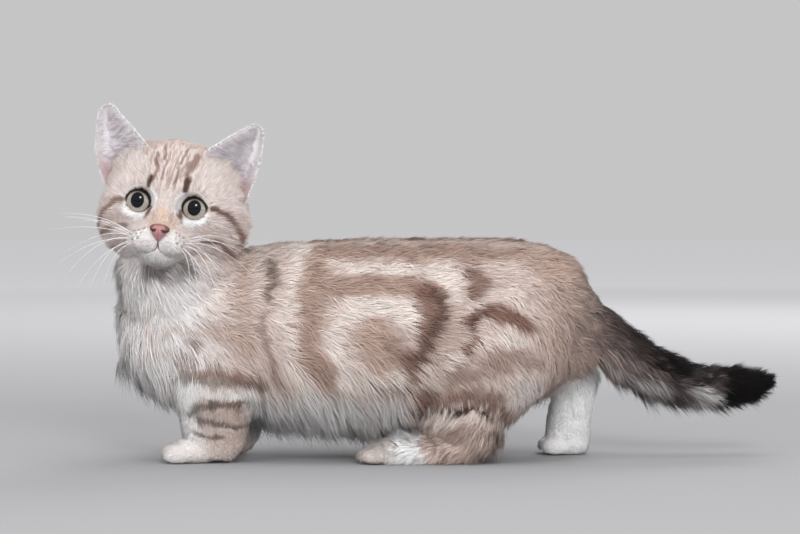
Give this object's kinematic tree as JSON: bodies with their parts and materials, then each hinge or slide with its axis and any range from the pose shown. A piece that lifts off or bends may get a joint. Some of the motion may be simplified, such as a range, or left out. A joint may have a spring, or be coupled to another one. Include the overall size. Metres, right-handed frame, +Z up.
{
  "type": "munchkin kitten",
  "caption": "Life-size still model of a short-legged kitten standing side-on with its face turned to the viewer, marbled pale tan and brown coat, low dark tail.",
  "frame": {"origin": "on the floor, under the middle of the whole box", "axes": "+Z up, the kitten stands along X and heads towards -X, its left flank faces -Y"},
  "size_m": [0.4226, 0.1185, 0.2035],
  "materials": {
    "coat": "soft short fur",
    "pale_coat": "soft short fur",
    "dark_coat": "soft long fur",
    "ear_skin": "thin skin with sparse hair",
    "eye": "wet gloss",
    "lid": "dark damp skin",
    "nose": "damp fine leather"
  },
  "bodies": {
    "root": {"head": "coat", "neck": "coat", "torso": "coat", "ear_left": "ear_skin", "ear_right": "ear_skin", "eye_left": "eye", "eye_right": "eye", "eyelids_left": "lid", "eyelids_right": "lid", "nose": "nose", "whisker_pad_left": "pale_coat", "whisker_pad_right": "pale_coat", "front_leg_left": "coat", "front_leg_right": "coat", "hind_leg_left": "coat", "hind_leg_right": "coat", "tail_base": "coat", "tail_middle": "coat", "tail_tip": "dark_coat"}
  },
  "joints": []
}
